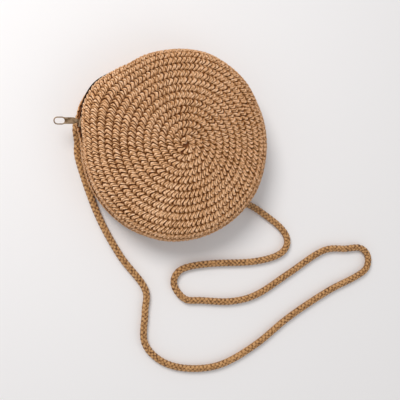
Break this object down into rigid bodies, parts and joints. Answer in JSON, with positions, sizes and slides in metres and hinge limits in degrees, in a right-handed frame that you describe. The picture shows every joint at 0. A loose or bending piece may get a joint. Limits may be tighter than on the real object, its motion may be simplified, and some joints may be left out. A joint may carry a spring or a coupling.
{
  "type": "circle bag",
  "caption": "Round zipped bag of coiled straw braid with a long cord strap, lying on its flat back.",
  "frame": {"origin": "middle of the flat area of the bag's back, on the plane the bag lies on", "axes": "+Z through the bag's thickness towards its domed front, +Y towards the middle of the zip, +X to the right seen from the front"},
  "size_m": [0.3815, 0.3073, 0.058],
  "materials": {
    "straw_braid": "coiled paper-straw braid, matt with a slight sheen",
    "straw_band": "plain woven paper-straw band, matt",
    "lining_cloth": "plain cotton, matt",
    "zip_cloth": "woven zip tape, matt",
    "zip_coil": "dark brown nylon coil",
    "antique_metal": "antique bronze, rubbed bright on the edges",
    "rope": "round braided cord, matt"
  },
  "bodies": {
    "bag": {"rear_panel": "straw_braid", "apron_panel": "straw_braid", "rear_lining": "lining_cloth", "apron_lining": "lining_cloth", "rear_zip_tape": "zip_cloth", "apron_tape_left": "zip_cloth", "apron_tape_right": "zip_cloth", "rear_zip_coil": "zip_coil", "apron_coil_left": "zip_coil", "apron_coil_right": "zip_coil", "zip_stop_left": "antique_metal", "zip_stop_right": "antique_metal", "bottom_band": "straw_band", "strap_knot_left": "rope", "strap_knot_right": "rope", "strap": "rope"},
    "cover": {"cover_panel": "straw_braid", "cover_lining": "lining_cloth", "cover_zip_tape": "zip_cloth", "cover_zip_coil": "zip_coil"},
    "slider": {"zip_slider": "antique_metal", "tab_rivet": "antique_metal"},
    "tab": {"pull_tab": "antique_metal"}
  },
  "joints": [
    {"name": "cover_fold", "type": "hinge", "parent": "bag", "child": "cover", "pos_m": [0, -0.01117, 0.058], "axis": [1, 0, 0], "range_deg": [0, 60]},
    {"name": "zip_travel", "type": "hinge", "parent": "bag", "child": "slider", "pos_m": [0, 0, 0.029], "axis": [0, 0, 1], "range_deg": [-200, 0]},
    {"name": "tab_swing", "type": "hinge", "parent": "slider", "child": "tab", "pos_m": [-0.0972, -0.01714, 0.029], "axis": [0, 0, 1], "range_deg": [-89, 61]}
  ]
}
